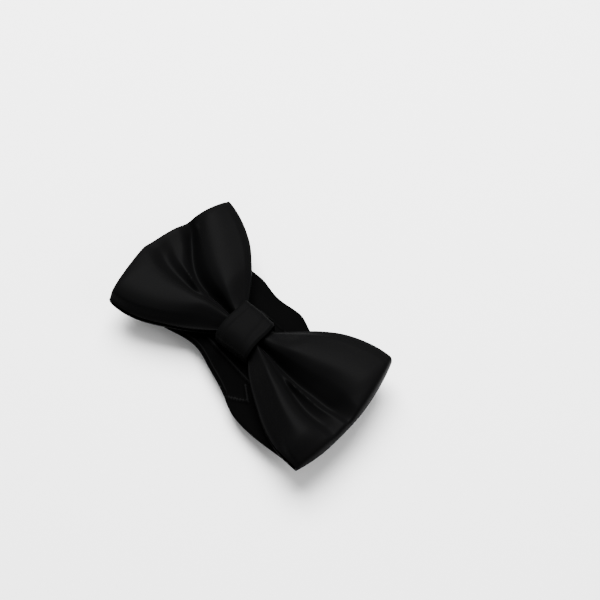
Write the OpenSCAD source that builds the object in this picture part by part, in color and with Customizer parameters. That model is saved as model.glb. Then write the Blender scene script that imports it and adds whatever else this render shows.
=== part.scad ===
// Pre-tied satin bow tie on a hooked, adjustable neck band.
// It lies face up on its folded band: +X along the bow, +Y to its upper edge,
// +Z out of its face, and z = 0 on the surface it lies on.

/* [Front bow] */
// Length of the front bow over both rounded ends
bow_length = 122; // [110:1:130]
// Height of a wing at its end
wing_height = 68; // [60:1:72]
// How far the middle of an end bulges past its corners
end_bulge = 4; // [2:0.5:6]
// Height of the gathered waist under the knot
waist_height = 19.4; // [17:0.2:19.4]
// Wall of the satin sleeve
sleeve_wall = 0.9; // [0.6:0.1:0.9]
// How far the two puffs of a wing stand above the valley between them
puff_height = 2.9; // [1:0.1:3.2]

/* [Back bow] */
// Length of the flat back bow
back_length = 119; // [105:1:125]
// Height of the back bow at its ends
back_height = 66; // [56:1:70]
// Height of the back bow behind the knot
back_waist = 45; // [40:1:50]
// Half length of the back bow's straight waist
back_flat = 22; // [16:1:26]
// Thickness of the flat back bow
back_thick = 1.7; // [1.5:0.1:1.8]

/* [Knot] */
// Width of the knot along the bow
knot_width = 18.5; // [16:0.5:19]
// Height of the knot
knot_height = 24; // [23.8:0.1:26]
// Thickness of the knot's satin
knot_wall = 1; // [0.8:0.1:1]
// Outer radius of the knot's front corners
knot_corner = 4.5; // [3.5:0.1:4.5]

/* [Neck band] */
// Width of the neck band
band_width = 20; // [16:0.5:20]
// Thickness of the flat band
band_thick = 0.8; // [0.6:0.1:0.8]
// Distance from the centre to the outer folds
outer_fold_x = 53.5; // [52:0.5:55]
// Distance from the centre to the inner folds
inner_fold_x = 11.5; // [11.5:0.5:13]
// How far the slide moves along the band
slide_travel = 22; // [10:1:22]

/* [Metal fittings] */
// Distance from the centre to the hook's bar and to the eye's bar
bar_x = 17; // [17:0.5:18]
// Radius of the hook's bar and of the eye's bar
bar_r = 0.62; // [0.58:0.01:0.62]
// Distance from the centre to the middle of the slide
slide_x = 25; // [25:0.5:26]
// Thickness of the metal sheet of the hook and the eye
sheet_thick = 1.2; // [0.8:0.1:1.2]

/* [Hidden] */

satin = [0.03, 0.03, 0.035];
canvas = [0.82, 0.80, 0.75];
thread = [0.08, 0.08, 0.09];
metal = [0.72, 0.72, 0.74];

// Levels of the stack, from the surface upwards
run_4_z = 2.15;              // underside of the last run
run_3_z = 4.15;
run_2_z = 5.35;
run_1_z = 6.55;              // underside of the run that is sewn to the bow
back_z = 7.9;                // underside of the back bow
knot_z = back_z + back_thick + 0.1;
knot_top = 20.6;
front_mid_z = 14.4;          // middle plane of the front bow's loop
rear_depth = 2.55;           // from that plane to the loop's rear face
valley_height = 2.4;         // from that plane to the valleys and edges of its face

bar_z = (run_4_z + band_thick) / 2;  // the band turns round the bars at this height
band_end_gap = 0.5;          // from a fold's axis to the flat part of the run
front_flat = 9.6;            // the front bow's waist is straight out to here
clear = 0.1;                 // between layers that lie on each other
loop_steps = 40;             // facets round the loop
loop_rows = 16;              // facets across its height
lining_gap = 0.3;            // between the satin loop and the lining inside it
outline_steps = 26;          // points along one edge of the back bow
fine = 48;

// ---- outlines ----

// Half height of a bow at x, from its waist to its end
function half_height(x, half_length, flat, waist, tall) =
    let (s = max(0, min(1, (abs(x) - flat) / (half_length - end_bulge - flat))))
    (waist + (tall - waist) * pow(sin(90 * s), 0.9)) / 2;

// Half length of a bow at v, where v runs from -1 at the lower edge to 1 at the upper
function half_span(v, length) = length / 2 - end_bulge * v * v;

// Height of the face above the loop's middle plane: two puffs with a valley between them
function face_height(x, v) =
    let (s = abs(x) / (bow_length / 2))
    valley_height + (1.4 + (puff_height - 1.4) * sin(min(180, 260 * s))) * pow(sin(180 * v), 2);

// Half height of the front bow at x
function wing_half(x) = half_height(x, bow_length / 2, front_flat, waist_height, wing_height);

// A point of the front bow's loop: a turns once round the loop, v crosses its height,
// e is the depth below the outer surface and trim is what is cut off its edges
function loop_point(a, v, e, trim) =
    let (w = v * (1 - trim / wing_half(half_span(v, bow_length) * cos(a))),
         x = (half_span(w, bow_length) - e) * cos(a),
         rise = sin(a) >= 0 ? face_height(x, w) : rear_depth,
         s = sign(sin(a)) * pow(abs(sin(a)), 0.4))
    [x, w * wing_half(x), front_mid_z + s * (rise - e)];

// A closed loop of cloth between the depths e0 and e1, trimmed at its edges
module cloth_loop(e0, e1, trim) {
    rows = loop_rows + 1;
    ring = loop_steps * rows;
    points = [for (e = [e0, e1], i = [0 : loop_steps - 1], j = [0 : loop_rows])
        loop_point(360 * i / loop_steps, 2 * j / loop_rows - 1, e, trim)];
    function at(i, j, k) = k * ring + (i % loop_steps) * rows + j;
    walls = [for (i = [0 : loop_steps - 1], j = [0 : loop_rows - 1], t = [0, 1])
        t == 0 ? [at(i, j, 0), at(i, j + 1, 0), at(i + 1, j + 1, 0)]
               : [at(i, j, 0), at(i + 1, j + 1, 0), at(i + 1, j, 0)]];
    linings = [for (i = [0 : loop_steps - 1], j = [0 : loop_rows - 1], t = [0, 1])
        t == 0 ? [at(i, j, 1), at(i + 1, j + 1, 1), at(i, j + 1, 1)]
               : [at(i, j, 1), at(i + 1, j, 1), at(i + 1, j + 1, 1)]];
    low_edge = [for (i = [0 : loop_steps - 1], t = [0, 1])
        t == 0 ? [at(i, 0, 0), at(i + 1, 0, 0), at(i + 1, 0, 1)]
               : [at(i, 0, 0), at(i + 1, 0, 1), at(i, 0, 1)]];
    high_edge = [for (i = [0 : loop_steps - 1], t = [0, 1])
        t == 0 ? [at(i, loop_rows, 0), at(i + 1, loop_rows, 1), at(i + 1, loop_rows, 0)]
               : [at(i, loop_rows, 0), at(i, loop_rows, 1), at(i + 1, loop_rows, 1)]];
    polyhedron(points, concat(walls, linings, low_edge, high_edge), convexity = 8);
}

// Flat outline of the back bow, drawn in from its edge
module back_outline(inset) {
    upper = [for (i = [0 : outline_steps])
        let (x = (back_length / 2 - end_bulge) * (1 - 2 * i / outline_steps))
        [x * (1 - 2 * inset / back_length),
         half_height(x, back_length / 2, back_flat, back_waist, back_height) - inset]];
    left_end = [for (v = [0.6, 0.2, -0.2, -0.6])
        [-half_span(v, back_length) + inset, v * (back_height / 2 - inset)]];
    polygon(concat(upper, left_end, [for (p = upper) [-p[0], -p[1]]],
        [for (p = left_end) [-p[0], -p[1]]]));
}

// Rounded box section in Y and Z, swept along X
module rounded_section(half_y, z0, z1, top_r, low_r, width) {
    rotate([90, 0, 90]) linear_extrude(width, center = true) union() {
        translate([-half_y, z0 + low_r]) square([2 * half_y, z1 - top_r - z0 - low_r]);
        translate([-half_y + top_r, z1 - top_r]) square([2 * (half_y - top_r), top_r]);
        translate([-half_y + low_r, z0]) square([2 * (half_y - low_r), low_r]);
        for (side = [-1, 1]) {
            translate([side * (half_y - top_r), z1 - top_r]) circle(top_r, $fn = fine);
            translate([side * (half_y - low_r), z0 + low_r]) circle(low_r, $fn = fine);
        }
    }
}

// A closed sleeve round the waist, from the depth e0 to e1 below the knot's outer face
module waist_sleeve(e0, e1, width) {
    low_r = 2.4;
    difference() {
        rounded_section(knot_height / 2 - e0, knot_z + e0, knot_top - e0, knot_corner - e0,
            low_r - e0, width);
        rounded_section(knot_height / 2 - e1, knot_z + e1, knot_top - e1, knot_corner - e1,
            max(0.2, low_r - e1), width + 1);
    }
}

// ---- the two bows ----

module front_bow() {
    color(satin) cloth_loop(0, sleeve_wall, 0);
}

module front_interlining() {
    color(canvas) cloth_loop(sleeve_wall + lining_gap, sleeve_wall + lining_gap + 0.5, 1.5);
}

module back_bow() {
    color(satin) difference() {
        translate([0, 0, back_z]) linear_extrude(back_thick) back_outline(0);
        translate([0, 0, back_z + 0.45]) linear_extrude(back_thick - 0.9) back_outline(1.6);
    }
}

module back_interlining() {
    color(canvas) translate([0, 0, back_z + 0.45 + clear])
        linear_extrude(back_thick - 0.9 - 2 * clear) back_outline(2);
}

// ---- the knot ----

module waist_thread() {
    turn_pitch = 1.1;
    color(thread) for (k = [-2 : 2])
        translate([k * turn_pitch, 0, 0])
            waist_sleeve(knot_wall + clear + 0.6, knot_wall + clear + 0.95, 0.5);
}

module knot_band() {
    color(satin) waist_sleeve(0, knot_wall, knot_width);
}

module knot_interlining() {
    color(canvas) waist_sleeve(knot_wall + clear, knot_wall + clear + 0.5, knot_width - 1.5);
}

// Short strip of satin sewn over the middle of the neck band, behind the back bow
tab_z = run_1_z - 0.95;
tab_half = band_width / 2 + 4.5;
tab_width = 16;

module rear_tab() {
    end_wall = 3.6;
    color(satin) union() {
        translate([-tab_width / 2, -tab_half, tab_z]) cube([tab_width, 2 * tab_half, 0.75]);
        for (side = [-1, 1])
            translate([-tab_width / 2, side * (tab_half - end_wall / 2) - end_wall / 2, tab_z])
                cube([tab_width, end_wall, back_z - 0.05 - tab_z]);
    }
}

module rear_tab_stitches() {
    stitch_r = 0.2;
    stitch_length = 1.7;
    color(thread) for (side = [-1, 1], k = [-3 : 3])
        translate([k * 2.2 - stitch_length / 2, side * (tab_half - 1.6), tab_z - stitch_r])
            rotate([0, 90, 0]) cylinder(stitch_length, stitch_r, stitch_r, $fn = fine);
}

// ---- the neck band ----

// One flat run of the band; side is 1 on the long side and -1 on the short
module run(side, x0, x1, z) {
    translate([side > 0 ? x0 : -x1, -band_width / 2, z])
        cube([x1 - x0, band_width, band_thick]);
}

module neck_band_centre() {
    half = outer_fold_x - band_end_gap;
    color(satin) translate([-half, -band_width / 2, run_1_z])
        cube([2 * half, band_width, band_thick]);
}

module folded_run(side, z) {
    color(satin) run(side, inner_fold_x + band_end_gap, outer_fold_x - band_end_gap, z);
}

// The band's turn round a bar and the leg that comes back under the run
module turn(side, run_x, leg_x) {
    r = run_4_z - bar_z;
    x = side * bar_x;
    difference() {
        translate([x, -band_width / 2, bar_z]) rotate([-90, 0, 0])
            cylinder(band_width, r + band_thick, r + band_thick, $fn = fine);
        translate([x, -band_width, bar_z]) rotate([-90, 0, 0])
            cylinder(2 * band_width, r, r, $fn = fine);
        translate([side > 0 ? x : x - 4, -band_width, -1])
            cube([4, 2 * band_width, 8]);
    }
    run(side, bar_x, run_x, run_4_z);
    run(side, bar_x, leg_x, 0);
}

// The fixed part of the long side's last run stops short of the loop's travel
loop_start_x = bar_x + slide_travel / 2 + 5.5;

module long_band_run_4() {
    color(satin) run(1, loop_start_x, outer_fold_x - band_end_gap, run_4_z);
}

module long_band_loop() {
    color(satin) turn(1, loop_start_x - clear, slide_x - 1.6);
}

module short_band_run_4() {
    color(satin) turn(-1, outer_fold_x - band_end_gap, bar_x + 12);
}

module eye_bartack() {
    tack_length = 1.2;
    color(thread) for (k = [-4 : 4])
        translate([-bar_x - 10 - tack_length / 2, k * 2 - 0.4, band_thick + 0.02])
            cube([tack_length, 0.8, run_4_z - band_thick - 0.04]);
}

// ---- the metal fittings ----

slide_bar_z = 1;
slide_bar_r = 0.45;

// The band's end, sewn round the slide's middle bar
module slide_sleeve() {
    color(satin) translate([slide_x, -band_width / 2, slide_bar_z]) rotate([-90, 0, 0])
        difference() {
            cylinder(band_width, slide_bar_z, slide_bar_z, $fn = fine);
            translate([0, 0, -1])
                cylinder(band_width + 2, slide_bar_r + 0.05, slide_bar_r + 0.05, $fn = fine);
        }
}

module band_slide() {
    rail_in = band_width / 2 + 0.5;
    rail = 1.5;
    half = 6;
    low = 0.4;
    top = run_3_z - 0.25;
    bar = 1.7;
    color(metal) union() {
        for (side = [-1, 1])
            translate([slide_x - half, side * (rail_in + rail / 2) - rail / 2, low])
                cube([2 * half, rail, top - low]);
        for (end = [-1, 1])
            translate([slide_x + end * (half - bar / 2) - bar / 2, -rail_in - rail / 2,
                    run_4_z + band_thick + 0.15])
                cube([bar, 2 * rail_in + rail, top - run_4_z - band_thick - 0.15]);
        translate([slide_x, -rail_in - rail / 2, slide_bar_z]) rotate([-90, 0, 0])
            cylinder(2 * rail_in + rail, slide_bar_r, slide_bar_r, $fn = fine);
    }
}

// A flat frame that hangs on a round bar; side is 1 for the hook and -1 for the eye
frame_low = 0.05;
frame_in = band_width / 2 + 0.6;
frame_rail = 1.5;
frame_nose_x = 7.4;

module bar_frame(side) {
    half = frame_in + frame_rail;
    lug = 0.9;
    for (end = [-1, 1]) {
        translate([side > 0 ? frame_nose_x : -bar_x, end * (frame_in + frame_rail / 2)
                - frame_rail / 2, frame_low])
            cube([bar_x - frame_nose_x, frame_rail, sheet_thick]);
        translate([side * bar_x, end * (frame_in + frame_rail / 2) - frame_rail / 2, bar_z])
            rotate([-90, 0, 0]) cylinder(frame_rail, bar_z - frame_low, bar_z - frame_low,
                $fn = fine);
    }
    translate([side > 0 ? frame_nose_x : -frame_nose_x - 1.8, -half, frame_low])
        cube([1.8, 2 * half, sheet_thick]);
    translate([side * bar_x, -half + lug, bar_z]) rotate([-90, 0, 0])
        cylinder(2 * (half - lug), bar_r, bar_r, $fn = fine);
}

module band_hook() {
    tongue = 7;
    tongue_x = 3.6;
    curl_r = 1.9;
    wire = 1;
    color(metal) union() {
        bar_frame(1);
        translate([tongue_x, -tongue / 2, frame_low])
            cube([frame_nose_x + 0.5 - tongue_x, tongue, wire]);
        translate([tongue_x, -tongue / 2, frame_low + curl_r]) rotate([-90, 0, 0])
            difference() {
                cylinder(tongue, curl_r, curl_r, $fn = fine);
                translate([0, 0, -1]) cylinder(tongue + 2, curl_r - wire, curl_r - wire,
                    $fn = fine);
                translate([0, -4, -1]) cube([4, 8, tongue + 2]);
            }
        translate([tongue_x, -tongue / 2, frame_low + 2 * curl_r - wire])
            cube([5, tongue, wire]);
    }
}

module band_eye() {
    color(metal) bar_frame(-1);
}

front_bow();
front_interlining();
back_bow();
back_interlining();
waist_thread();
knot_band();
knot_interlining();
rear_tab();
rear_tab_stitches();
neck_band_centre();
folded_run(1, run_2_z);  // long_band_run_2
folded_run(1, run_3_z);  // long_band_run_3
long_band_run_4();
long_band_loop();
slide_sleeve();
band_slide();
band_hook();
folded_run(-1, run_2_z);  // short_band_run_2
folded_run(-1, run_3_z);  // short_band_run_3
short_band_run_4();
eye_bartack();
band_eye();
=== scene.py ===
import math

import bpy
from mathutils import Matrix, Vector, noise


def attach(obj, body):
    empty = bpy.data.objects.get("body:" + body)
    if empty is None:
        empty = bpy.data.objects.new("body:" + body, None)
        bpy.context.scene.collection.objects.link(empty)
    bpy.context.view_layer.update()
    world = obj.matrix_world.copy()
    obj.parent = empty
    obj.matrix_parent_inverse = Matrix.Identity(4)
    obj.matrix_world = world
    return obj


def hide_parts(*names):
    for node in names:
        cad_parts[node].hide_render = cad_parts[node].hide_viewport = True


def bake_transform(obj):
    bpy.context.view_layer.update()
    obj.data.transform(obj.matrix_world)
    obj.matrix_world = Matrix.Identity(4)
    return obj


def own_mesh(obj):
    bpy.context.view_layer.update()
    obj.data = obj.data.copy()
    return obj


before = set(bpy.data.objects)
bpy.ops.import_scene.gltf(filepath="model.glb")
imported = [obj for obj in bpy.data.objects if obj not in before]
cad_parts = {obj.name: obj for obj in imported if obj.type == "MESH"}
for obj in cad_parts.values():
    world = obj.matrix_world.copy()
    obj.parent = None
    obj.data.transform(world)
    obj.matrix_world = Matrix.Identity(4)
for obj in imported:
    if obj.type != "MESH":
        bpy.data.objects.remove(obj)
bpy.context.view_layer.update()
bpy.ops.object.select_all(action="DESELECT")
mm = 0.001


# ---------------------------------------------------------------- front bow
# The front bow is a sleeve of black satin, interlined, folded back at both ends
# so that it closes into a loop, and gathered at the waist until each wing stands
# up in two puffs with a deep valley between them.
bow_tip = 62.4 * mm
waist_x = 9.0 * mm
waist_half = 7.8 * mm
wing_half = 35.2 * mm
loop_mid = 14.4 * mm
loop_rear = 2.9 * mm
end_lift = 1.1 * mm
end_sharpness = 110
pinch_height = 0.75
crease_depth = 1.1
knot_drop = 3.0 * mm
cloth_thick = 0.95 * mm
rear_weave_start = 0.13


def ease(value, low, high):
    """0 below low, 1 above high, and smooth between them."""
    t = min(1.0, max(0.0, (value - low) / (high - low)))
    return t * t * (3 - 2 * t)


def bump(value, middle, width):
    """A smooth hump of height 1 at middle."""
    return math.exp(-(((value - middle) / width) ** 2))


def track(value, *spots):
    """A smooth curve through (position, amount) spots, level at each high and low."""
    last = len(spots) - 1
    k = next((i for i in range(last) if value <= spots[i + 1][0]), last - 1)
    (x1, b), (x2, c) = spots[k], spots[k + 1]
    x0, a = spots[max(0, k - 1)]
    x3, d = spots[min(last, k + 2)]
    t = min(1.0, max(0.0, (value - x1) / (x2 - x1)))
    into = (c - a) / (x2 - x0) * (x2 - x1) if (b - a) * (c - b) > 0 else 0.0
    out = (d - b) / (x3 - x1) * (x2 - x1) if (c - b) * (d - c) > 0 else 0.0
    return (b * (2 * t**3 - 3 * t**2 + 1) + into * (t**3 - 2 * t**2 + t)
            + c * (3 * t**2 - 2 * t**3) + out * (t**3 - t**2))


def along_wing(x):
    """0 at the knot's edge and 1 at the end of a wing."""
    return min(1.0, max(0.0, (abs(x) - waist_x) / (57 * mm - waist_x)))


def edge_distance(x, v):
    """How far the bow's upper or lower edge is from its middle line."""
    s = along_wing(x)
    half = waist_half + (wing_half - waist_half) * math.sin(math.pi / 2 * s) ** 0.9
    swell = math.sin(math.pi * s)
    if x >= 0:
        return half * (1 - 0.115 * s if v > 0 else 1 - 0.095 * s)
    if v > 0:
        return half * (1 + 0.06 * math.sin(math.pi * s**0.55) - 0.04 * swell)
    return half * (1 + 0.055 * swell)


def wing_end(side, v):
    """How far the end of a wing is from the middle of the bow."""
    furthest = -0.22 if side < 0 else -0.55
    upper = max(0.0, (v - furthest) / (1 - furthest))
    lower = max(0.0, (furthest - v) / (1 + furthest))
    if side < 0:
        return bow_tip - (0.7 + 7.2 * upper**1.35 + 8.7 * lower**1.2) * mm
    return bow_tip - (9.9 * upper**2.3 + 1.9 * lower**2) * mm


def middle_line(x):
    """The knot sits a little low, so the waist's middle does too."""
    return -knot_drop * (1 - ease(abs(x), 6 * mm, 32 * mm))


def loop_level(x):
    """The wings lift a little towards their ends."""
    return loop_mid + end_lift * along_wing(x) ** 1.6


def part_way(a, b, share):
    """A spot between two others."""
    return a + (b - a) * share


def wing_spots(side, s):
    """The crests and valleys across a wing, from its lower edge to its upper edge."""
    pleated = ease(s, 0.3, 0.5)
    if side < 0:
        flank = track(s, (0, -0.5), (0.2, -0.62), (0.37, -0.8), (0.6, -0.87), (1, -0.93))
        low_crest = track(s, (0, -0.26), (0.12, -0.32), (0.31, -0.43), (0.51, -0.52), (1, -0.66))
        second = track(s, (0, -0.1), (0.23, -0.2), (0.4, -0.24), (0.55, -0.21),
                       (0.8, -0.16), (1, -0.09))
        ridge = track(s, (0, -0.03), (0.2, -0.11), (0.41, -0.17), (0.58, -0.1),
                      (0.8, -0.02), (1, 0.09))
        valley = track(s, (0, 0.04), (0.2, -0.01), (0.34, -0.07), (0.49, -0.04), (0.62, 0.04),
                       (0.74, 0.15), (0.85, 0.27), (1, 0.39))
        crest = track(s, (0, 0.26), (0.2, 0.28), (0.43, 0.38), (0.66, 0.53), (0.86, 0.64), (1, 0.7))
        return [
            (-1, 0.7), (flank, 5.2), (low_crest, 7.0), (part_way(second, low_crest, 0.38), 5.9),
            (second, 3.0 - 1.5 * pleated + 0.8 * s**4), (ridge, 1.6 + 1.7 * pleated),
            (part_way(ridge, valley, 0.5), 1.4 + 1.5 * ease(s, 0.6, 0.85)), (valley, 0.0),
            (part_way(valley, crest, 0.45), 5.2), (crest, 7.0),
            (part_way(crest, 1, 0.72), 5.3), (1, 3.9)]
    flank = track(s, (0, -0.62), (0.11, -0.7), (0.4, -0.76), (0.75, -0.83), (1, -0.93))
    low_crest = track(s, (0, -0.36), (0.1, -0.43), (0.34, -0.57), (1, -0.65))
    second = track(s, (0, -0.2), (0.24, -0.31), (0.53, -0.345), (0.73, -0.36), (1, -0.33))
    ridge = track(s, (0, -0.13), (0.24, -0.24), (0.44, -0.28), (0.62, -0.25),
                  (0.8, -0.22), (1, -0.17))
    brink = track(s, (0, 0.08), (0.22, 0.04), (0.45, 0.07), (0.66, 0.16), (0.87, 0.18), (1, 0.15))
    valley = part_way(ridge, brink, 0.3)
    crest = track(s, (0, 0.26), (0.23, 0.22), (0.45, 0.3), (0.68, 0.4), (0.9, 0.48), (1, 0.5))
    return [
        (-1, 0.9), (flank, 4.3 + 0.3 * s**3), (low_crest, 7.0),
        (part_way(second, low_crest, 0.42), 5.5), (second, 2.4 - 1.3 * pleated + 0.8 * s**4),
        (ridge, 1.4 + 1.4 * pleated), (valley, 0.0),
        (brink, 5.2), (crest, 7.0), (part_way(crest, 1, 0.7), 5.2), (1, 3.7)]


def face_rise(x, v):
    """How far the front of the loop stands above its middle level."""
    s = along_wing(x)
    side = -1 if x < 0 else 1
    spots = wing_spots(side, s)
    ridge = spots[5][0]
    valley = spots[-5][0]
    line_end = 1 - (ease(s, 0.5, 0.8) if side < 0 else s**6)
    pinch = pinch_height * bump(v, ridge, 0.03) * ease(s, 0.38, 0.5) * line_end
    crease = crease_depth * bump(v, valley, 0.07) * (1 - ease(s, 0.8, 1))
    height = track(v, *spots) + pinch - crease
    flat = 0.9 + 3.9 * (1 - abs(v) ** 3)
    shape = height + (flat - height) * 0.75 * ease(abs(x), 51 * mm, 63 * mm)
    tight = 0.55 + 0.45 * ease(s, 0.0, 0.3)
    return (0.6 + (shape - 0.6) * tight) * mm


def cloth_ripple(x, y, layer):
    """Slow, slight unevenness of hand-sewn cloth."""
    spot = Vector((x * 42, y * 42, layer))
    fine_spot = Vector((x * 120, y * 120, layer + 7))
    return 0.28 * mm * noise.noise(spot) + 0.07 * mm * noise.noise(fine_spot)


def pick(piece):
    """Selects one piece and makes it the active one."""
    bpy.ops.object.select_all(action="DESELECT")
    piece.select_set(True)
    bpy.context.view_layer.objects.active = piece


def mesh_piece(name, points, faces, weave=None, smooth=60):
    """A mesh from points and faces; weave is each point's place on the flat cloth."""
    mesh = bpy.data.meshes.new(name)
    mesh.from_pydata(points, [], faces)
    if weave:
        layer = mesh.uv_layers.new(name="weave")
        for loop in mesh.loops:
            layer.data[loop.index].uv = weave[loop.vertex_index]
    piece = bpy.data.objects.new(name, mesh)
    bpy.context.scene.collection.objects.link(piece)
    pick(piece)
    bpy.ops.object.shade_smooth_by_angle(angle=math.radians(smooth))
    return piece


def grid_faces(rows, columns, closed):
    """Quads over rows x columns of points; closed joins the last row to the first."""
    faces = []
    for i in range(rows if closed else rows - 1):
        for j in range(columns - 1):
            a = i * columns + j
            b = (i + 1) % rows * columns + j
            faces.append((a, b, b + 1, a + 1))
    return faces


def apply_modifier(piece, kind, **settings):
    """Adds a modifier, sets it and applies it."""
    pick(piece)
    modifier = piece.modifiers.new(kind, kind)
    for key, value in settings.items():
        setattr(modifier, key, value)
    bpy.ops.object.modifier_apply(modifier=modifier.name)


def thicken(piece, thickness, rim, offset=-1.0):
    """Gives cloth its thickness and rounds its cut or folded rim."""
    apply_modifier(piece, "SOLIDIFY", thickness=thickness, offset=offset, use_even_offset=False)
    if rim:
        apply_modifier(piece, "BEVEL", width=rim, segments=2, limit_method="ANGLE",
                       angle_limit=math.radians(50), harden_normals=False)
    bpy.ops.object.shade_smooth_by_angle(angle=math.radians(60))


def front_loop(turns, across, trim):
    """The outer skin of the front bow's loop, with its edges cut back by trim."""
    points = []
    weave = []
    for i in range(turns):
        angle = 2 * math.pi * i / turns
        t = math.cos(angle)
        side = 1 if t >= 0 else -1
        roll = (1 - abs(t) ** end_sharpness) ** 0.5
        in_front = math.sin(angle) >= 0
        for j in range(across + 1):
            v = 2 * j / across - 1
            v *= 1 - trim / edge_distance(t * wing_end(side, v), v)
            x = t * wing_end(side, v)
            y = middle_line(x) + v * edge_distance(x, v)
            if in_front:
                height = face_rise(x, v) + cloth_ripple(x, y, 1)
            else:
                height = -loop_rear - 0.35 * mm * math.sin(9 * v) + cloth_ripple(x, y, 5)
            points.append((x, y, loop_level(x) + roll * height))
            weave.append(((x if in_front else rear_weave_start - x) / mm, v * wing_half / mm))
    return points, weave


loop_turns = 260
loop_across = 128
loop_faces = grid_faces(loop_turns, loop_across + 1, True)
points, weave = front_loop(loop_turns, loop_across, 0)
front_sleeve = mesh_piece("front_bow_satin", points, loop_faces, weave)
front_sleeve.data.flip_normals()


def start_material(name):
    """A new material, its nodes, the call that links them, and its shader."""
    material = bpy.data.materials.new(name)
    material.use_nodes = True
    tree = material.node_tree
    return material, tree.nodes, tree.links.new, tree.nodes["Principled BSDF"]


def add_noise(nodes, scale, detail):
    """A cloudy pattern."""
    cloud = nodes.new("ShaderNodeTexNoise")
    cloud.inputs["Scale"].default_value = scale
    cloud.inputs["Detail"].default_value = detail
    return cloud


def add_colour_mix(nodes, dark, pale):
    """A mix of two colours."""
    shade = nodes.new("ShaderNodeMix")
    shade.data_type = "RGBA"
    shade.inputs["A"].default_value = (*dark, 1)
    shade.inputs["B"].default_value = (*pale, 1)
    return shade


def add_relief(nodes, strength, distance):
    """Fine relief that only the light sees."""
    relief = nodes.new("ShaderNodeBump")
    relief.inputs["Strength"].default_value = strength
    relief.inputs["Distance"].default_value = distance
    return relief


def black_satin(name, shine, cloth=(0.0016, 0.0016, 0.00165)):
    """Black satin: a fine diagonal weave with slubs along it and a low, soft shine."""
    material, nodes, link, shader = start_material(name)
    shader.inputs["Specular IOR Level"].default_value = shine
    shader.inputs["Sheen Weight"].default_value = shine * 0.1
    shader.inputs["Sheen Roughness"].default_value = 0.45
    shader.inputs["Sheen Tint"].default_value = (0.7, 0.7, 0.74, 1)
    place = nodes.new("ShaderNodeUVMap")
    place.uv_map = "weave"
    threads = nodes.new("ShaderNodeMapping")
    threads.inputs["Scale"].default_value = (1.2, 7.5, 1)
    threads.inputs["Rotation"].default_value = (0, 0, math.radians(2))
    link(place.outputs["UV"], threads.inputs["Vector"])
    slub = add_noise(nodes, 1.0, 4.0)
    link(threads.outputs["Vector"], slub.inputs["Vector"])
    ribs = nodes.new("ShaderNodeTexWave")
    ribs.wave_type = "BANDS"
    ribs.bands_direction = "DIAGONAL"
    ribs.inputs["Scale"].default_value = 1.3
    ribs.inputs["Distortion"].default_value = 1.2
    ribs.inputs["Detail"].default_value = 1.0
    link(place.outputs["UV"], ribs.inputs["Vector"])
    shade = add_colour_mix(nodes, [c * 0.8 for c in cloth], [c * 1.3 for c in cloth])
    link(slub.outputs["Fac"], shade.inputs["Factor"])
    link(shade.outputs["Result"], shader.inputs["Base Color"])
    gloss = nodes.new("ShaderNodeMapRange")
    gloss.inputs["To Min"].default_value = 0.37
    gloss.inputs["To Max"].default_value = 0.48
    link(slub.outputs["Fac"], gloss.inputs["Value"])
    link(gloss.outputs["Result"], shader.inputs["Roughness"])
    both = nodes.new("ShaderNodeMath")
    both.operation = "MULTIPLY_ADD"
    both.inputs[1].default_value = 0.35
    link(ribs.outputs["Fac"], both.inputs[0])
    link(slub.outputs["Fac"], both.inputs[2])
    weave_relief = add_relief(nodes, 0.12, 0.00012)
    link(both.outputs[0], weave_relief.inputs["Height"])
    link(weave_relief.outputs["Normal"], shader.inputs["Normal"])
    return material


def dress(piece, material):
    """Puts one material on a piece."""
    piece.data.materials.clear()
    piece.data.materials.append(material)


satin = black_satin("black_satin", 0.006)
thicken(front_sleeve, cloth_thick, 0.22 * mm)
dress(front_sleeve, satin)
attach(front_sleeve, "bow")
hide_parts("front_bow")


# ---------------------------------------------------------------- front lining
# A strip of off-white non-woven canvas is sewn in between the satin's two skins all
# the way round the loop, 1.5 mm short of its edges. It gives the wings their body.
def felt_canvas(name):
    """Off-white non-woven canvas: pressed fibres with small soft pits."""
    material, nodes, link, shader = start_material(name)
    shader.inputs["Roughness"].default_value = 0.92
    shader.inputs["Specular IOR Level"].default_value = 0.2
    place = nodes.new("ShaderNodeTexCoord")
    fibres = add_noise(nodes, 900, 5)
    link(place.outputs["Object"], fibres.inputs["Vector"])
    pits = nodes.new("ShaderNodeTexVoronoi")
    pits.inputs["Scale"].default_value = 700
    link(place.outputs["Object"], pits.inputs["Vector"])
    shade = add_colour_mix(nodes, (0.56, 0.54, 0.48), (0.76, 0.74, 0.68))
    link(fibres.outputs["Fac"], shade.inputs["Factor"])
    link(shade.outputs["Result"], shader.inputs["Base Color"])
    dents = add_relief(nodes, 0.4, 0.0001)
    link(pits.outputs["Distance"], dents.inputs["Height"])
    link(dents.outputs["Normal"], shader.inputs["Normal"])
    return material


canvas = felt_canvas("felt_canvas")
points, weave = front_loop(loop_turns, loop_across, 1.5 * mm)
front_lining = mesh_piece("front_lining", points, loop_faces, weave)
front_lining.data.flip_normals()
apply_modifier(front_lining, "DISPLACE", strength=-0.32 * mm, mid_level=0)
thicken(front_lining, 0.22 * mm, 0)
dress(front_lining, canvas)
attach(front_lining, "bow")
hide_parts("front_interlining")


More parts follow.
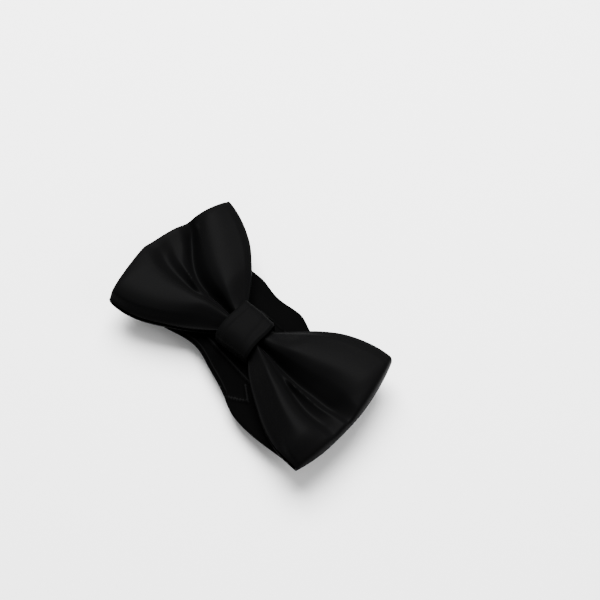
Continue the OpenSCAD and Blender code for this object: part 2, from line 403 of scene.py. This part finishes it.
# ---------------------------------------------------------------- waist thread
# Black two-ply sewing thread is wound round the gathered waist and pulled tight,
# one turn beside the next. The knot hides it.
def two_ply(points, radius, sides, lay):
    """A round thread along points, with two plies that twist once every lay."""
    spots = []
    faces = []
    travelled = 0.0
    across = None
    for i, point in enumerate(points):
        before = points[max(0, i - 1)]
        after = points[min(len(points) - 1, i + 1)]
        ahead = (after - before).normalized()
        if across is None:
            across = ahead.orthogonal().normalized()
        across = (across - ahead * across.dot(ahead)).normalized()
        beside = ahead.cross(across)
        travelled += (point - before).length
        taper = 0.55 if i in (0, len(points) - 1) else 1.0
        for k in range(sides):
            angle = 2 * math.pi * k / sides
            ply = 1 + 0.16 * math.cos(2 * angle - 2 * math.pi * travelled / lay)
            reach = radius * ply * taper
            spots.append(point + reach * (math.cos(angle) * across + math.sin(angle) * beside))
        if i:
            a, b = (i - 1) * sides, i * sides
            faces += [(a + k, a + (k + 1) % sides, b + (k + 1) % sides, b + k) for k in range(sides)]
    faces.append(tuple(reversed(range(sides))))
    faces.append(tuple(range(len(spots) - sides, len(spots))))
    return spots, faces


def thread_piece(name, runs, radius, sides=10, lay=3.2 * mm):
    """One object made of several lengths of thread."""
    points = []
    faces = []
    for run in runs:
        start = len(points)
        more, more_faces = two_ply(run, radius, sides, lay)
        points += more
        faces += [tuple(k + start for k in face) for face in more_faces]
    return mesh_piece(name, points, faces, None, 70)


def black_thread(name):
    """Black spun polyester thread, a little paler and rougher than the satin."""
    material, nodes, link, shader = start_material(name)
    shader.inputs["Roughness"].default_value = 0.62
    shader.inputs["Specular IOR Level"].default_value = 0.18
    place = nodes.new("ShaderNodeTexCoord")
    fluff = add_noise(nodes, 2600, 3)
    link(place.outputs["Object"], fluff.inputs["Vector"])
    shade = add_colour_mix(nodes, (0.004, 0.004, 0.005), (0.014, 0.014, 0.017))
    link(fluff.outputs["Fac"], shade.inputs["Factor"])
    link(shade.outputs["Result"], shader.inputs["Base Color"])
    fibres = add_relief(nodes, 0.3, 0.00005)
    link(fluff.outputs["Fac"], fibres.inputs["Height"])
    link(fibres.outputs["Normal"], shader.inputs["Normal"])
    return material


thread = black_thread("black_thread")
wound_turns = 11
turn_points = 44
winding_start = -3.6 * mm
winding_pitch = 0.62 * mm
winding_half = 8.1 * mm
winding_level = 14.9 * mm
winding_rise = 3.9 * mm
wound = []
for i in range(wound_turns * turn_points + 1):
    angle = 2 * math.pi * i / turn_points
    c, s = math.cos(angle), math.sin(angle)
    wound.append(Vector((winding_start + winding_pitch * i / turn_points,
                         -knot_drop + winding_half * math.copysign(abs(c) ** 0.6, c),
                         winding_level + winding_rise * math.copysign(abs(s) ** 0.5, s))))
binding = thread_piece("waist_binding", [wound], 0.27 * mm)
dress(binding, thread)
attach(binding, "bow")
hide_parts("waist_thread")


# ---------------------------------------------------------------- back bow
# The back bow is a flat satin sleeve behind the front one. It isn't gathered, so it
# stays about 46 mm tall behind the knot, where its hem and the edges of its folds show.
back_mid = 8.75 * mm
back_skin = 0.85 * mm
back_short = 2.6 * mm
back_end_lift = 2.6 * mm
scallop_length = 4.2 * mm


def back_edge(x, v):
    """How far the back bow's upper or lower edge is from the middle of the bow."""
    if v > 0:
        scallop = 0.5 * math.sin(x / scallop_length) * (1 - ease(abs(x), 14 * mm, 26 * mm))
        return (scallop + track(x / mm, (-60, 33.5), (-45, 28.5), (-30, 22.6), (-18, 22.2),
                                (-6, 21.4), (6, 21.8), (18, 19.4), (30, 21.5), (45, 27),
                                (60, 30.3))) * mm
    return track(x / mm, (-60, 33.8), (-45, 30.5), (-30, 25), (-14, 21.3), (0, 24.5), (10, 27.4),
                 (21, 31.6), (35, 32.6), (60, 31)) * mm


def to_line(x, y, a, b):
    """How far a point is from the line between two spots in mm."""
    along = Vector((b[0] - a[0], b[1] - a[1]))
    to_spot = Vector((x / mm - a[0], y / mm - a[1]))
    t = min(1.0, max(0.0, to_spot.dot(along) / along.length_squared))
    return (to_spot - along * t).length


def back_relief(x, y):
    """Folds of the back bow's face that show beside the knot."""
    near = 1 - ease(abs(x), 26 * mm, 40 * mm)
    lip = 0.8 * bump(to_line(x, y, (-14, -15.0), (16, -16.8)), 0, 0.7)
    lip += 0.5 * bump(to_line(x, y, (-6, 10.3), (13, 10.8)), 0, 0.35)
    lip += 0.65 * bump(to_line(x, y, (15.5, -19), (21.6, -23.2)), 0, 0.5)
    lip += 0.65 * bump(to_line(x, y, (13.6, -28), (21.6, -23.2)), 0, 0.55)
    if y < 0:
        from_edge = (back_edge(x, -1) + y) / mm
        lip += 0.55 * bump(from_edge, 1.7, 0.45) * (1 - ease(x, 10 * mm, 16 * mm))
    else:
        lip += 0.35 * math.sin(x / scallop_length) * ease(y, 12 * mm, 19 * mm)
    return lip * near * mm


def back_level(x, y):
    """The back bow lies flat in the middle and follows the wings up at their ends."""
    droop = 2.0 * mm * ease(abs(y), 12 * mm, 30 * mm) * (1 - ease(abs(x), 24 * mm, 50 * mm))
    return back_mid + back_end_lift * along_wing(x) ** 1.7 - droop


def back_end(t, v):
    """How far the back bow's end is from the middle of the bow, on t's side."""
    return wing_end(1 if t > 0 else -1, v * 0.97) - back_short


def back_surface(front, columns, rows):
    """The front or the rear face of the back bow, as points and their places on the cloth."""
    points = []
    weave = []
    for i in range(columns + 1):
        t = -math.cos(math.pi * i / columns)
        for j in range(rows + 1):
            v = -math.cos(math.pi * j / rows)
            x = t * back_end(t, v)
            y = v * back_edge(x, v)
            roll = ((1 - abs(t) ** 60) * (1 - abs(v) ** 44)) ** 0.5
            height = back_skin * roll
            if front:
                height += roll * back_relief(x, y)
            z = back_level(x, y) + (height if front else -height)
            points.append((x, y, z + roll * cloth_ripple(x, y, 11)))
            weave.append(((x if front else rear_weave_start - x) / mm, y / mm))
    return points, weave


def face_outwards(weld):
    """Turns the active piece's faces outwards; weld joins points that meet, first."""
    bpy.ops.object.mode_set(mode="EDIT")
    bpy.ops.mesh.select_all(action="SELECT")
    if weld:
        bpy.ops.mesh.remove_doubles(threshold=0.002 * mm)
    bpy.ops.mesh.normals_make_consistent(inside=False)
    bpy.ops.object.mode_set(mode="OBJECT")


back_columns = 170
back_rows = 150
points, weave = back_surface(True, back_columns, back_rows)
rear_points, rear_weave = back_surface(False, back_columns, back_rows)
faces = grid_faces(back_columns + 1, back_rows + 1, False)
count = len(points)
rear_faces = [tuple(reversed([k + count for k in face])) for face in faces]
back_sleeve = mesh_piece("back_bow_satin", points + rear_points, faces + rear_faces,
                         weave + rear_weave)
face_outwards(True)
# Painted shade: the back bow gets a darker, duller copy of the black satin, with a darker cloth
# colour and less shine, for the shade it lies in under the wings and the knot.
dress(back_sleeve, black_satin("painted_shade_satin", 0.0006, (0.0009, 0.0009, 0.0009)))
back_sleeve.data.materials.append(satin)
# Painted highlight: upward-facing faces on the raised fold lines and hem get the brighter front
# satin, for the light those ridges catch.
fold_line_relief = 0.36 * mm
for face in back_sleeve.data.polygons:
    painted_highlight_face = back_relief(face.center.x, face.center.y) > fold_line_relief
    if face.normal.z > 0.2 and painted_highlight_face:
        face.material_index = 1
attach(back_sleeve, "bow")
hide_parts("back_bow")

back_lining_points = []
back_lining_weave = []
lining_columns = 60
lining_rows = 40
lining_inset = 2.2 * mm
for i in range(lining_columns + 1):
    t = 2 * i / lining_columns - 1
    for j in range(lining_rows + 1):
        v = 2 * j / lining_rows - 1
        x = t * (back_end(t, v) - lining_inset)
        y = v * (back_edge(x, v) - lining_inset)
        back_lining_points.append((x, y, back_level(x, y)))
        back_lining_weave.append((x / mm, y / mm))
back_lining = mesh_piece("back_lining", back_lining_points,
                         grid_faces(lining_columns + 1, lining_rows + 1, False), back_lining_weave)
back_lining.data.flip_normals()
thicken(back_lining, 0.4 * mm, 0, 0)
dress(back_lining, canvas)
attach(back_lining, "bow")
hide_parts("back_interlining")


# ---------------------------------------------------------------- knot
# The knot is a strip of the same satin, folded to 19 mm, wrapped over the waist
# and closed behind it. It lies a little uneven, with a soft pleat along one side.
knot_middle = Vector((0.2 * mm, -3.1 * mm, 0))
knot_half = 10.9 * mm
knot_low = 9.75 * mm
knot_high = 20.7 * mm
knot_width = 18.2 * mm
strip_length = 62
wrap_steps = 150
wrap_across = 64


def wrap_point(turn, w, depth):
    """A point of the wrap: turn goes once round the waist, w runs across the strip.

    Its face is squarest along the upper edge, and its lower edge lies at a slant.
    """
    angle = 2 * math.pi * turn
    c, s = math.cos(angle), math.sin(angle)
    power = 2 / 5 if s <= 0 else 2 / (2.7 if c < 0 else 4.6)
    reach = knot_half * (1 - 0.09 * w) if c < 0 else 0.9 * knot_half * (1 + 0.03 * w)
    y = reach * math.copysign(abs(c) ** power, c)
    middle = (knot_low + knot_high) / 2
    z = middle + (knot_high - knot_low) / 2 * math.copysign(abs(s) ** power, s)
    top = max(0.0, s)
    x = w * knot_width / 2 * (1 - 0.02 * (1 - top)) + (-0.75 - 1.5 * c) * mm
    roll = 0.75 * mm * (1 - (1 - abs(w) ** 9) ** 0.5)
    pleat = 0.16 * mm * bump(w, -0.66 + 0.1 * c, 0.09) - 0.1 * mm * bump(w, -0.5, 0.12)
    pleat += 0.1 * mm * bump(w, 0.5 - 0.2 * c, 0.1) * top
    rim = 0.16 * mm * bump(w, 0.86, 0.06)
    crown = 0.45 * mm * (1 - w * w) * top
    lift = crown - roll - pleat + rim + 0.22 * mm * noise.noise(Vector((w * 1.6, turn * 6, 3)))
    outward = Vector((0, c * abs(c), s * abs(s))).normalized()
    return Vector((x, y, z)) + outward * (lift - depth) + knot_middle


def wrapped_strip(name, steps, across, depth, width):
    """A strip wrapped round the waist, depth below the knot's face; width is a share of it."""
    points = []
    weave = []
    for i in range(steps):
        for j in range(across + 1):
            w = math.sin(math.pi / 2 * (2 * j / across - 1)) * 0.999 * width
            points.append(wrap_point(i / steps, w, depth))
            weave.append((w * knot_width / 2 / mm, i / steps * strip_length))
    return mesh_piece(name, points, grid_faces(steps, across + 1, True), weave)


knot = wrapped_strip("knot_satin", wrap_steps, wrap_across, 0, 1)
thicken(knot, 0.9 * mm, 0.2 * mm)
dress(knot, black_satin("knot_satin_cloth", 0.0034))
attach(knot, "bow")
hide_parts("knot_band")

knot_lining = wrapped_strip("knot_lining", wrap_steps, wrap_across, 0.3 * mm, 0.88)
thicken(knot_lining, 0.28 * mm, 0)
dress(knot_lining, canvas)
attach(knot_lining, "bow")
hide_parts("knot_interlining")


# ---------------------------------------------------------------- rear tab
# A doubled tab of satin bridges the neck band behind the bow. Each of its ends
# is turned out flat and sewn to the back bow with a row of hand stitches.
tab_half_width = 8 * mm
tab_side = [(14.5, 7.35), (13.2, 7.32), (12.0, 7.26), (11.3, 7.0), (10.95, 6.6), (10.8, 6.25),
            (10.4, 5.98), (9.4, 5.93), (6.5, 5.95), (3.2, 5.93)]
tab_line = [(-y, z) for y, z in tab_side] + [(0, 5.94)] + list(reversed(tab_side))
points = []
weave = []
tab_steps = 8
tab_columns = 20
for i in range((len(tab_line) - 1) * tab_steps + 1):
    k, share = divmod(i, tab_steps)
    share /= tab_steps
    # A smooth curve through the four points round this spot.
    near_point = tab_line[min(k, len(tab_line) - 1)]
    far_point = tab_line[min(k + 1, len(tab_line) - 1)]
    before = tab_line[max(k - 1, 0)]
    after = tab_line[min(k + 2, len(tab_line) - 1)]
    spot = [0.5 * (2 * b + (c - a) * share + (2 * a - 5 * b + 4 * c - d) * share**2
                   + (3 * b - a - 3 * c + d) * share**3)
            for a, b, c, d in zip(before, near_point, far_point, after)]
    for j in range(tab_columns + 1):
        u = 2 * j / tab_columns - 1
        sag = 0.12 * mm * noise.noise(Vector((u * 1.5, spot[0] * 0.25, 21)))
        edge = tab_half_width * (1 + 0.012 * math.sin(spot[0] * 0.9))
        points.append((u * edge, spot[0] * mm, spot[1] * mm + sag))
        weave.append((u * tab_half_width / mm, spot[0] + 40))
tab = mesh_piece("rear_tab_satin", points,
                 grid_faces((len(tab_line) - 1) * tab_steps + 1, tab_columns + 1, False), weave)
thicken(tab, 0.62 * mm, 0.2 * mm, 0)
dress(tab, satin)
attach(tab, "bow")
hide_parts("rear_tab")

tack_pitch = 2.2 * mm
tack_half = 0.85 * mm
tack_row = 12.9 * mm
tack_level = 6.9 * mm
tab_stitches = []
for side in (-1, 1):
    for k in range(-3, 4):
        tab_stitches.append([
            Vector((tack_pitch * k + share * tack_half,
                    side * tack_row + 0.1 * mm * math.sin(5 * k + share),
                    tack_level + 0.5 * mm * share * share))
            for share in (-1, -0.6, -0.2, 0.2, 0.6, 1)])
tab_thread = thread_piece("rear_tab_thread", tab_stitches, 0.2 * mm, 8, 1.6 * mm)
dress(tab_thread, thread)
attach(tab_thread, "bow")
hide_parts("rear_tab_stitches")


# ---------------------------------------------------------------- neck band
# The neck band is one sewn strip of satin, 20 mm wide and top-stitched along both
# edges. It lies behind the bow in four flat runs on each side, and folds at its
# creases, so each piece here goes from the middle of one run to the middle of the next.
band_half = 10  # this and the sizes below are in mm
band_level = (6.95, 5.75, 4.55, 2.55, 0.4)
centre_half = 30
run_middle = 34
outer_crease = 53.0
inner_crease = 12.0
crease_points = 14
stitch_pitch = 2.6
seam_y = 8.7


def straight(x0, x1, z, step=1.5):
    """Points in mm along a flat run."""
    count = max(2, round(abs(x1 - x0) / step))
    return [(x0 + (x1 - x0) * i / count, z) for i in range(count + 1)]


def half_round(x, z, radius, way):
    """Points in mm round a crease, from the run above to the run below; way is its side."""
    turns = [math.pi * i / crease_points for i in range(1, crease_points)]
    return [(x + way * radius * math.sin(a), z + radius * math.cos(a)) for a in turns]


def seam_stitches(centres, normals, places, thick):
    """Arcs of thread along both edges of a band's flat runs, on both of its faces."""
    arcs = []
    for i in range(len(centres) - 1):
        if (normals[i + 1] - normals[i]).length > 0.01:
            continue
        ahead = (centres[i + 1] - centres[i]).normalized()
        first = math.ceil(places[i] / stitch_pitch)
        for k in range(first, math.ceil(places[i + 1] / stitch_pitch)):
            share = (k * stitch_pitch - places[i]) / (places[i + 1] - places[i])
            middle = centres[i].lerp(centres[i + 1], share)
            for y in (-seam_y, seam_y):
                for out in (-normals[i], normals[i]):
                    if middle.z + out.z * mm * thick / 2 < 0.1 * mm:
                        continue
                    arcs.append([middle + Vector((0, y * mm, 0)) + ahead * 0.9 * mm * s
                                 + out * mm * (thick / 2 - 0.04 - 0.1 * s * s)
                                 for s in (-1, -0.35, 0.35, 1)])
    return arcs


def band_piece(name, line, start, thick=0.8, stitched=True):
    """Band along a line of (x, z) points in mm; start is its place along the flat band."""
    flat_columns = 16
    flat_half = band_half - 0.28
    profile = [(flat_half * (2 * k / flat_columns - 1), 0.5) for k in range(flat_columns + 1)]
    profile += [(band_half - 0.1, 0.42), (band_half, 0.2),
                (band_half, -0.2), (band_half - 0.1, -0.42)]
    profile += [(-y, -h) for y, h in profile[:flat_columns + 1]]
    profile += [(-y, -h) for y, h in profile[flat_columns + 1:flat_columns + 5]]
    around = len(profile)
    points = []
    weave = []
    faces = []
    place = start
    centres = [Vector((x * mm, 0, z * mm)) for x, z in line]
    normals = []
    places = []
    for i, centre in enumerate(centres):
        ahead = (centres[min(i + 1, len(centres) - 1)] - centres[max(i - 1, 0)]).normalized()
        normals.append(Vector((-ahead.z, 0, ahead.x)))
        place += (centre - centres[max(i - 1, 0)]).length / mm
        places.append(place)
        for y, h in profile:
            puff = 0.035 * math.cos(y * 1.9) * (abs(y) < 9)
            wave = 0.03 * noise.noise(Vector((place * 0.2, y * 0.35, 31)))
            height = (h * thick + (puff if h > 0 else -puff) * 0.5 + wave) * mm
            points.append(centre + Vector((0, y * mm, 0)) + normals[-1] * height)
            weave.append((place + (0 if h > 0 else 500), y))
        if i:
            a, b = (i - 1) * around, i * around
            faces += [(a + k, b + k, b + (k + 1) % around, a + (k + 1) % around)
                      for k in range(around)]
    last = len(points) - around
    for low in (0, last):
        for k in range(flat_columns + 1):
            top, bottom = k, around - 5 - k
            if k < flat_columns:
                face = (low + top, low + top + 1, low + bottom - 1, low + bottom)
                faces.append(face if low == 0 else tuple(reversed(face)))
        for rim in (tuple(range(flat_columns, flat_columns + 6)),
                    tuple(range(around - 5, around)) + (0,)):
            face = tuple(low + k for k in rim)
            faces.append(face if low == 0 else tuple(reversed(face)))
    cloth_faces = len(faces)
    for arc in seam_stitches(centres, normals, places, thick) if stitched else []:
        spots, stitch_faces = two_ply(arc, 0.11 * mm, 6, 1.4 * mm)
        base = len(points)
        points += spots
        weave += [(0, 0)] * len(spots)
        faces += [tuple(n + base for n in face) for face in stitch_faces]
    piece = mesh_piece(name, points, faces, weave, 50)
    face_outwards(False)
    dress(piece, satin)
    piece.data.materials.append(thread)
    for polygon in piece.data.polygons:
        polygon.material_index = 1 if polygon.index >= cloth_faces else 0
    return piece


def band_length(line):
    """Length in metres of a line of (x, z) points in mm."""
    return sum(math.dist(line[i], line[i + 1]) for i in range(len(line) - 1)) * mm


line = straight(-centre_half, centre_half, band_level[0])
centre_band = band_piece("neck_band_centre_satin", line, -centre_half)
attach(centre_band, "bow")
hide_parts("neck_band_centre")

loop_start = 33.4
for side, word in ((1, "long"), (-1, "short")):
    runs = [f"{word}_band_run_{k}" for k in (2, 3, 4)]
    start = centre_half
    ends = [(centre_half, run_middle), (run_middle, run_middle),
            (run_middle, loop_start if side > 0 else run_middle)]
    for k in range(3):
        upper, lower = band_level[k], band_level[k + 1]
        crease = inner_crease if k == 1 else outer_crease
        way = -1 if k == 1 else 1
        line = straight(ends[k][0], crease, upper)
        line += half_round(crease, (upper + lower) / 2, (upper - lower) / 2, way)
        line += straight(crease, ends[k][1], lower)
        line = [(side * x, z) for x, z in line]
        fold = band_piece(f"{word}_band_fold_{k + 1}", line, start)
        start += band_length(line) / mm
        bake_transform(fold)
        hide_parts(runs[k])

# The long side ends in a loop that runs round the hook's bar to the slide.
bar_x = 17
bar_z = 1.475
bar_turn = 1.075
lead = 0.02
line = straight(loop_start, bar_x, band_level[3], 1.2)
upper_loop = band_piece("long_loop_upper", line, 200)
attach(upper_loop, "long_run_4")
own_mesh(upper_loop)
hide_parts("long_band_loop")

line = [(bar_x, band_level[3])] + half_round(bar_x, bar_z, bar_turn, -1) + [(bar_x, band_level[4])]
line = [(bar_x + lead, band_level[3])] + line + [(bar_x + lead, band_level[4])]
turn_loop = band_piece("long_loop_turn", line, 217, stitched=False)
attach(turn_loop, "hook_loop")
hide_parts("long_band_loop")

sleeve_start = 23.4
line = straight(bar_x, sleeve_start, band_level[4], 0.8)
lower_loop = band_piece("long_loop_lower", line, 221)
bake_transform(lower_loop)
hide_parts("long_band_loop")

slide_x = 25
slide_bar_z = 1.0
sleeve_turn = 0.73
line = [(sleeve_start, band_level[4]), (24.0, 0.36), (24.5, 0.3)]
line += [(slide_x + sleeve_turn * math.cos(a), slide_bar_z + sleeve_turn * math.sin(a))
         for a in [math.radians(d) for d in range(-90, 211, 15)]]
sleeve = band_piece("slide_sleeve_satin", line, 227, thick=0.5, stitched=False)
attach(sleeve, "slide")
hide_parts("slide_sleeve")

# The short side turns round the eye's bar and is bar-tacked back onto itself.
line = straight(-run_middle, -bar_x, band_level[3], 1.2)
line += [(-x, z) for x, z in half_round(bar_x, bar_z, bar_turn, -1)]
line += [(-bar_x, band_level[4]), (-18.5, 0.41), (-19.8, 0.5), (-21.2, 0.85), (-22.6, 1.32),
         (-23.8, 1.62), (-24.9, 1.72), (-26.2, 1.74), (-27.6, 1.74), (-29, 1.74)]
eye_loop = band_piece("short_loop", line, 200)
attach(eye_loop, "short_run_4")
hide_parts("short_band_run_4")

bartack_count = 36
bartack_half = 9.3
bartack_lean = 0.26
tack = []
for k in range(bartack_count):
    y = bartack_half * (2 * k / (bartack_count - 1) - 1)
    x0, x1 = (-27.8, -26.2) if k % 2 else (-26.2, -27.8)
    tack.append([Vector((part_way(x0, x1, s), y + bartack_lean * (s - 0.5),
                         1.3 + 0.22 * (2 * s - 1) ** 2)) * mm for s in (0, 0.25, 0.5, 0.75, 1)])
bartack = thread_piece("eye_bartack_thread", tack, 0.2 * mm, 8, 1.4 * mm)
dress(bartack, thread)
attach(bartack, "short_run_4")
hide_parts("eye_bartack")


# ---------------------------------------------------------------- slide
# The slide is one pressed piece of nickel-plated steel: a flat frame with turned-down
# side rails, and a round bar across it that the band's end is sewn to.
def select_faces(piece, test):
    """In edit mode, selects just the faces whose middle and normal pass a test."""
    bpy.ops.object.mode_set(mode="EDIT")
    bpy.ops.mesh.select_mode(type="FACE")
    bpy.ops.mesh.select_all(action="DESELECT")
    bpy.ops.object.mode_set(mode="OBJECT")
    for face in piece.data.polygons:
        face.select = test(face.center / mm, face.normal)
    bpy.ops.object.mode_set(mode="EDIT")


def start_block(name, low, high):
    """A block between two corners in mm, with its origin at the centre of the scene."""
    bpy.ops.object.select_all(action="DESELECT")
    low, high = Vector(low) * mm, Vector(high) * mm
    bpy.ops.mesh.primitive_cube_add(size=1, location=(low + high) / 2)
    block = bpy.context.object
    block.name = name
    block.dimensions = high - low
    bpy.ops.object.transform_apply(location=True, rotation=True, scale=True)
    return block


def extrude(x, y, z):
    """Extrudes the selected faces by a distance in mm."""
    bpy.ops.mesh.extrude_region_move(TRANSFORM_OT_translate={"value": (x * mm, y * mm, z * mm)})


def add_round_bar(radius, length, place, vertices=28):
    """In edit mode, adds a round bar along Y at a place in mm."""
    bpy.ops.mesh.select_all(action="DESELECT")
    bpy.ops.mesh.primitive_cylinder_add(vertices=vertices, radius=radius * mm, depth=length * mm,
                                        location=[v * mm for v in place],
                                        rotation=(math.radians(90), 0, 0))


def finish_metal(piece, edge=0.16 * mm):
    """Rounds a pressed piece's edges and smooths it."""
    face_outwards(True)
    apply_modifier(piece, "BEVEL", width=edge, segments=3, limit_method="ANGLE",
                   angle_limit=math.radians(38), harden_normals=False)
    bpy.ops.object.shade_smooth_by_angle(angle=math.radians(40))


def plated_nickel(name):
    """Nickel plating over drawn steel: fine drawing lines, small scuffs, a warm grey."""
    material, nodes, link, shader = start_material(name)
    shader.inputs["Metallic"].default_value = 1.0
    place = nodes.new("ShaderNodeTexCoord")
    drawn = nodes.new("ShaderNodeMapping")
    drawn.inputs["Scale"].default_value = (2600, 90, 2600)
    link(place.outputs["Object"], drawn.inputs["Vector"])
    lines = add_noise(nodes, 1, 4)
    link(drawn.outputs["Vector"], lines.inputs["Vector"])
    cloud = add_noise(nodes, 260, 6)
    link(place.outputs["Object"], cloud.inputs["Vector"])
    shade = add_colour_mix(nodes, (0.5, 0.48, 0.45), (0.72, 0.7, 0.67))
    link(cloud.outputs["Fac"], shade.inputs["Factor"])
    link(shade.outputs["Result"], shader.inputs["Base Color"])
    gloss = nodes.new("ShaderNodeMapRange")
    gloss.inputs["To Min"].default_value = 0.2
    gloss.inputs["To Max"].default_value = 0.42
    link(cloud.outputs["Fac"], gloss.inputs["Value"])
    link(gloss.outputs["Result"], shader.inputs["Roughness"])
    scratches = add_relief(nodes, 0.18, 0.00003)
    link(lines.outputs["Fac"], scratches.inputs["Height"])
    link(scratches.outputs["Normal"], shader.inputs["Normal"])
    return material


nickel = plated_nickel("plated_nickel")
slide_half = 12
slide_rim = 1.5
rail_drop = 2.8
slide = start_block("band_slide_nickel", (slide_x - 6, -slide_half, 3.2),
                    (slide_x + 5.7, slide_half, 3.86))
select_faces(slide, lambda c, n: abs(n.z) > 0.9)
bpy.ops.mesh.inset(thickness=slide_rim * mm, depth=0)
bpy.ops.mesh.bridge_edge_loops()
select_faces(slide, lambda c, n: n.z < -0.9 and abs(c.y) > slide_half - slide_rim + 0.1)
extrude(0, 0, -rail_drop)
add_round_bar(0.45, 23.4, (slide_x, 0, slide_bar_z))
finish_metal(slide, 0.25 * mm)
dress(slide, nickel)
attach(slide, "slide")
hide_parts("band_slide")


# ---------------------------------------------------------------- hook and eye
# The hook and the eye are pressed frames of the same plated steel, each riveted to
# a round bar that the band turns round. The hook's tongue is rolled back over itself.
nose_inner = 7.4
nose_outer = 9.2
arm_outer = 12.1
arm_inner = 10.6
arm_length = 7.8
tongue_half = 3.5
tongue_length = 3.8


def bar_frame(name, side):
    """A three-sided frame with a lug at each end of its round bar."""
    low, high = sorted((side * nose_inner, side * nose_outer))
    frame_piece = start_block(name, (low, -arm_outer, 0.05), (high, arm_outer, 1.05))
    bpy.ops.object.mode_set(mode="EDIT")
    for y in (-arm_inner, -tongue_half, tongue_half, arm_inner):
        bpy.ops.mesh.select_all(action="SELECT")
        bpy.ops.mesh.bisect(plane_co=(0, y * mm, 0), plane_no=(0, 1, 0))
    select_faces(frame_piece, lambda c, n: n.x * side > 0.9 and abs(c.y) > arm_inner)
    extrude(side * arm_length, 0, 0)
    for end in (-1, 1):
        add_round_bar(1.42, 1.5, (side * bar_x, end * 11.35, bar_z), 36)
    bpy.ops.object.mode_set(mode="OBJECT")
    select_faces(frame_piece, lambda c, n: abs(n.y) > 0.9 and abs(c.y) > 12
                 and abs(abs(c.x) - bar_x) < 0.3)
    bpy.ops.mesh.inset(thickness=0.5 * mm, depth=0)
    bpy.ops.mesh.inset(thickness=0.12 * mm, depth=0.25 * mm)
    add_round_bar(0.62, 22.4, (side * bar_x, 0, bar_z))
    return frame_piece


hook = bar_frame("band_hook_nickel", 1)
select_faces(hook, lambda c, n: n.x < -0.9 and abs(c.y) < tongue_half
             and abs(c.x - nose_inner) < 0.1)
extrude(-tongue_length, 0, 0)
bpy.ops.mesh.spin(steps=16, angle=math.radians(180), axis=(0, 1, 0),
                  center=((nose_inner - tongue_length) * mm, 0, 1.95 * mm))
extrude(4.4, 0, 0)
extrude(0.6, 0, 0.12)
bpy.ops.transform.resize(value=(1, 0.8, 0.7))
finish_metal(hook)
dress(hook, nickel)
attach(hook, "hook")
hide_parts("band_hook")

eye = bar_frame("band_eye_nickel", -1)
finish_metal(eye)
dress(eye, nickel)
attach(eye, "eye")
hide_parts("band_eye")


# ---------------------------------------------------------------- studio
bpy.ops.mesh.primitive_plane_add(size=4.0, location=(0, 0, 0))
floor = bpy.context.object
floor.name = "floor"
paper, _, _, paper_shader = start_material("paper")
paper_shader.inputs["Base Color"].default_value = (0.93, 0.93, 0.93, 1)
paper_shader.inputs["Roughness"].default_value = 0.9
floor.data.materials.append(paper)

world = bpy.data.worlds.new("studio")
bpy.context.scene.world = world
world.use_nodes = True
sky = world.node_tree.nodes["Background"]
sky.inputs["Color"].default_value = (1, 1, 1, 1)
sky.inputs["Strength"].default_value = 0.55


def softbox(name, place, power):
    """A square soft light aimed at the bow."""
    lamp = bpy.data.lights.new(name, "AREA")
    lamp.shape = "SQUARE"
    lamp.size = 0.8
    lamp.energy = power
    box = bpy.data.objects.new(name, lamp)
    bpy.context.scene.collection.objects.link(box)
    box.location = place
    box.rotation_euler = (-Vector(place)).to_track_quat("-Z", "Y").to_euler()


softbox("top_box", (-0.39, 0.34, 0.94), 62)
softbox("side_box", (0.9, 0.5, 0.6), 8)

azimuth = math.radians(45.70)
elevation = math.radians(59.60)
camera_roll = math.radians(0.67)
distance = 0.6197
aim = Vector((0.0017, 0.0263, 0.010))
behind = Vector((math.sin(azimuth) * math.cos(elevation),
                 -math.cos(azimuth) * math.cos(elevation), math.sin(elevation)))
lens = bpy.data.cameras.new("camera")
lens.lens = 85.2
lens.sensor_width = 36
camera = bpy.data.objects.new("camera", lens)
bpy.context.scene.collection.objects.link(camera)
turn = behind.to_track_quat("Z", "Y").to_matrix().to_4x4() @ Matrix.Rotation(camera_roll, 4, "Z")
camera.matrix_world = Matrix.Translation(aim + behind * distance) @ turn
bpy.context.scene.camera = camera
